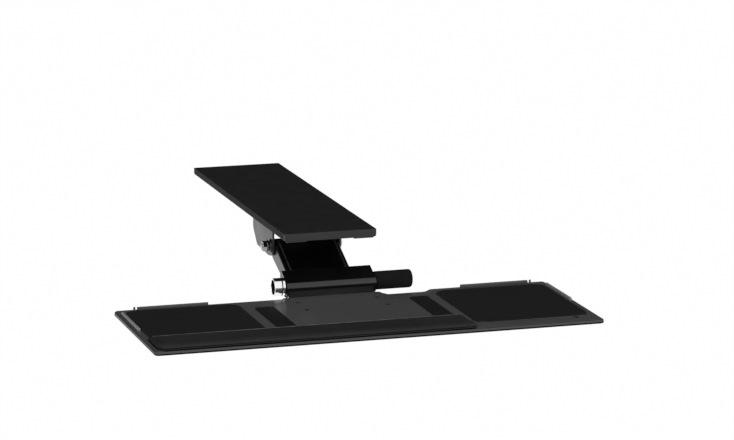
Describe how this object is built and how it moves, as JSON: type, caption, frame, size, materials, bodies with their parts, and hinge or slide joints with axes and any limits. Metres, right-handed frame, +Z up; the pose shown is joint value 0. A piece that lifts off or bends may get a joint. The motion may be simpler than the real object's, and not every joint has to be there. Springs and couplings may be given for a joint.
{
  "type": "keyboard tray",
  "caption": "Wide flat keyboard tray with palm rest and mouse pads on a tilting head and lift arm that swivels and slides in a track fixed under a worktop.",
  "frame": {"origin": "middle of the top face of the track, where it meets the underside of a worktop", "axes": "+Z up out of the track's top face, +Y along the track away from the user, +X to the user's right"},
  "size_m": [0.689, 0.8375, 0.111],
  "materials": {
    "painted_steel": "black powder coat",
    "zinc_steel": "zinc plated",
    "black_steel": "black oxide",
    "spring_steel": "oiled spring wire",
    "chrome": "polished",
    "acetal": "natural moulded",
    "bronze": "plain bearing bronze",
    "black_plastic": "fine moulded texture",
    "soft_rubber": "satin",
    "board_laminate": "satin textured laminate",
    "pad_cloth": "fine flat weave",
    "palm_skin": "soft matte skin"
  },
  "bodies": {
    "track_body": {"track": "painted_steel", "front_cap": "black_plastic", "rear_cap": "black_plastic", "cap_rivets": "zinc_steel"},
    "carriage": {"carriage_plate": "painted_steel", "glides": "acetal", "swivel_bolt": "zinc_steel", "swivel_nut": "zinc_steel"},
    "bracket": {"turntable_disc": "acetal", "swivel_bracket": "painted_steel", "pivot_bolt": "zinc_steel", "thrust_washers": "zinc_steel", "disc_springs": "spring_steel", "lock_nut": "black_steel", "spring_anchor": "zinc_steel", "rear_link_pin": "zinc_steel", "lift_springs": "spring_steel"},
    "arm": {"arm_channel": "painted_steel", "arm_bushes": "bronze"},
    "link": {"level_link": "painted_steel"},
    "head": {"head_frame": "painted_steel", "front_pin": "zinc_steel", "pin_clips": "black_steel", "front_link_pin": "zinc_steel", "hood": "black_plastic", "hood_screws": "zinc_steel", "barrel": "chrome", "barrel_plug": "black_plastic", "dial_collar": "black_plastic"},
    "tray": {"plate_bracket": "painted_steel", "tilt_tube": "zinc_steel", "tube_bushes": "acetal", "board": "board_laminate", "board_screws": "black_steel", "mouse_pad_left": "pad_cloth", "mouse_pad_right": "pad_cloth", "grip_strip_left": "soft_rubber", "grip_strip_right": "soft_rubber", "palm_rest_base": "black_plastic", "palm_rest": "palm_skin", "rear_guard_left": "black_plastic", "rear_guard_right": "black_plastic", "side_guard_left": "black_plastic", "side_guard_right": "black_plastic", "guard_pegs": "black_plastic"},
    "dial": {"tilt_screw": "zinc_steel", "dial_hub": "black_plastic", "dial_grip": "soft_rubber", "dial_cap": "black_plastic"},
    "drive_nut": {"tilt_nut": "bronze"}
  },
  "joints": [
    {"name": "carriage_slide", "type": "slide", "parent": "track_body", "child": "carriage", "axis": [0, 1, 0], "range_m": [-0.119, 0.288]},
    {"name": "tray_swivel", "type": "hinge", "parent": "carriage", "child": "bracket", "pos_m": [0, -0.0845, -0.016], "axis": [0, 0, 1], "range_deg": [-90, 90]},
    {"name": "arm_lift", "type": "hinge", "parent": "bracket", "child": "arm", "pos_m": [0, -0.1345, -0.0485], "axis": [1, 0, 0], "range_deg": [-10, 26], "deforming": ["lift_springs"]},
    {"name": "link_swing", "type": "hinge", "parent": "bracket", "child": "link", "pos_m": [0, -0.12962, -0.05946], "axis": [1, 0, 0], "range_deg": [-10, 26]},
    {"name": "head_level", "type": "hinge", "parent": "arm", "child": "head", "pos_m": [0, -0.23864, -0.09487], "axis": [1, 0, 0], "range_deg": [-26, 10]},
    {"name": "tray_tilt", "type": "hinge", "parent": "head", "child": "tray", "pos_m": [0, -0.26964, -0.08367], "axis": [1, 0, 0], "range_deg": [-10, 15]},
    {"name": "dial_turn", "type": "hinge", "parent": "head", "child": "dial", "pos_m": [0, -0.26964, -0.08367], "axis": [1, 0, 0], "range_deg": [-288, 432]},
    {"name": "nut_travel", "type": "slide", "parent": "head", "child": "drive_nut", "axis": [1, 0, 0], "range_m": [-0.00361, 0.00541]}
  ],
  "couplings": [
    {"joint": "link_swing", "follows": "arm_lift", "ratio": 1},
    {"joint": "head_level", "follows": "arm_lift", "ratio": -1},
    {"joint": "dial_turn", "follows": "tray_tilt", "ratio": 28.8},
    {"joint": "nut_travel", "follows": "tray_tilt", "m_per_rad": 0.020626}
  ]
}
